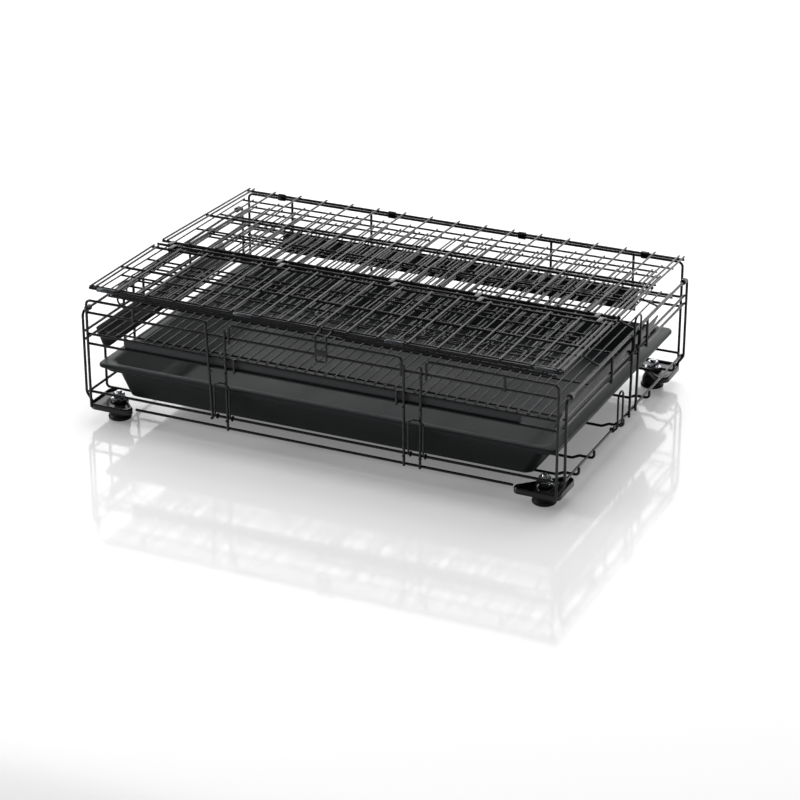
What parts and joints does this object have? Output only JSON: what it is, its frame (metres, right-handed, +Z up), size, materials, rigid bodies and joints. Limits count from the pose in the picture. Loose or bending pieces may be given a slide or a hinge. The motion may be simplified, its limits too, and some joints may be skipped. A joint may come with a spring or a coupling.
{
  "type": "folding wire pet cage",
  "caption": "Black folding wire pet cage, folded flat, with a slatted floor over a dark moulded waste tray, on rubber feet.",
  "frame": {"origin": "bottom centre, on the floor between the four feet", "axes": "+Z up, +X along the long side to the right seen from the front, -Y to the front"},
  "size_m": [0.6356, 0.4285, 0.1759],
  "materials": {
    "coated_wire": "satin black baked coating on steel wire",
    "strip_paint": "satin dark grey coating on flat steel",
    "tray_plastic": "moulded dark blue-grey plastic, fine texture",
    "guard_plastic": "semi-gloss black moulded plastic",
    "plate_plastic": "glossy black moulded plastic",
    "foot_rubber": "black rubber",
    "nut_chrome": "bright plated steel",
    "sleeve_clear": "clear soft plastic sleeve"
  },
  "bodies": {
    "base": {"front_left_corner_post": "coated_wire", "front_right_corner_post": "coated_wire", "back_left_corner_post": "coated_wire", "back_right_corner_post": "coated_wire", "front_upper_rails": "coated_wire", "front_low_rails": "coated_wire", "front_left_posts": "coated_wire", "front_right_posts": "coated_wire", "back_upper_rails": "coated_wire", "back_low_rail": "coated_wire", "back_left_post": "coated_wire", "back_right_post": "coated_wire", "left_upper_rails": "coated_wire", "left_low_rail": "coated_wire", "left_posts": "coated_wire", "right_upper_rails": "coated_wire", "right_low_rail": "coated_wire", "right_posts": "coated_wire", "corner_clips": "coated_wire", "tray_rail_1": "coated_wire", "tray_rail_2": "coated_wire", "tray_rail_3": "coated_wire", "tray_rail_4": "coated_wire", "tray_rail_5": "coated_wire", "roof_panel": "coated_wire", "front_wall": "coated_wire", "front_door": "coated_wire", "left_wall": "coated_wire", "right_wall": "coated_wire", "side_door": "coated_wire", "side_wall_links": "coated_wire", "front_strip": "strip_paint", "left_guard": "guard_plastic", "right_guard": "guard_plastic", "back_guard": "guard_plastic", "foot_nuts": "nut_chrome", "foot_bolts": "nut_chrome", "front_left_foot": "foot_rubber", "front_right_foot": "foot_rubber", "back_left_foot": "foot_rubber", "back_right_foot": "foot_rubber", "front_left_corner_plate": "plate_plastic", "front_right_corner_plate": "plate_plastic", "back_left_corner_plate": "plate_plastic", "back_right_corner_plate": "plate_plastic"},
    "tray": {"waste_tray": "tray_plastic"},
    "floor": {"floor_grid": "coated_wire"},
    "back_leaf": {"back_wall_lower": "coated_wire", "fold_pin": "coated_wire", "hinge_clips": "coated_wire", "lower_fold_clips": "coated_wire"},
    "top_leaf": {"back_wall_upper": "coated_wire", "upper_fold_clips": "coated_wire", "edge_sleeves": "sleeve_clear"},
    "latch": {"front_latch": "coated_wire"},
    "left_catch": {"front_left_catch": "coated_wire"},
    "right_catch": {"front_right_catch": "coated_wire"},
    "side_catch": {"right_tray_catch": "coated_wire"},
    "right_hook": {"right_wall_hook": "coated_wire"},
    "left_hook": {"left_wall_hook": "coated_wire"}
  },
  "joints": [
    {"name": "tray_lift", "type": "slide", "parent": "base", "child": "tray", "axis": [0, 0, 1], "range_m": [0, 0.016]},
    {"name": "floor_lift", "type": "slide", "parent": "base", "child": "floor", "axis": [0, 0, 1], "range_m": [0, 0.018]},
    {"name": "back_wall_raise", "type": "hinge", "parent": "base", "child": "back_leaf", "pos_m": [0, 0.2092, 0.161], "axis": [-1, 0, 0], "range_deg": [0, 92]},
    {"name": "back_wall_fold", "type": "hinge", "parent": "back_leaf", "child": "top_leaf", "pos_m": [0, -0.0323, 0.172], "axis": [-1, 0, 0], "range_deg": [0, 120]},
    {"name": "latch_swing", "type": "hinge", "parent": "top_leaf", "child": "latch", "pos_m": [0.012, -0.1974, 0.172], "axis": [-1, 0, 0], "range_deg": [0, 95]},
    {"name": "left_catch_swing", "type": "hinge", "parent": "base", "child": "left_catch", "pos_m": [-0.1205, -0.2062, 0.04], "axis": [1, 0, 0], "range_deg": [0, 90]},
    {"name": "right_catch_swing", "type": "hinge", "parent": "base", "child": "right_catch", "pos_m": [0.132, -0.2062, 0.04], "axis": [1, 0, 0], "range_deg": [0, 90]},
    {"name": "side_catch_swing", "type": "hinge", "parent": "base", "child": "side_catch", "pos_m": [0.31, -0.0358, 0.0385], "axis": [0, 1, 0], "range_deg": [0, 90]},
    {"name": "right_hook_swing", "type": "hinge", "parent": "base", "child": "right_hook", "pos_m": [0.31, 0.018, 0.119], "axis": [0, 1, 0], "range_deg": [0, 90]},
    {"name": "left_hook_swing", "type": "hinge", "parent": "base", "child": "left_hook", "pos_m": [-0.31, -0.1, 0.119], "axis": [0, -1, 0], "range_deg": [0, 90]}
  ]
}
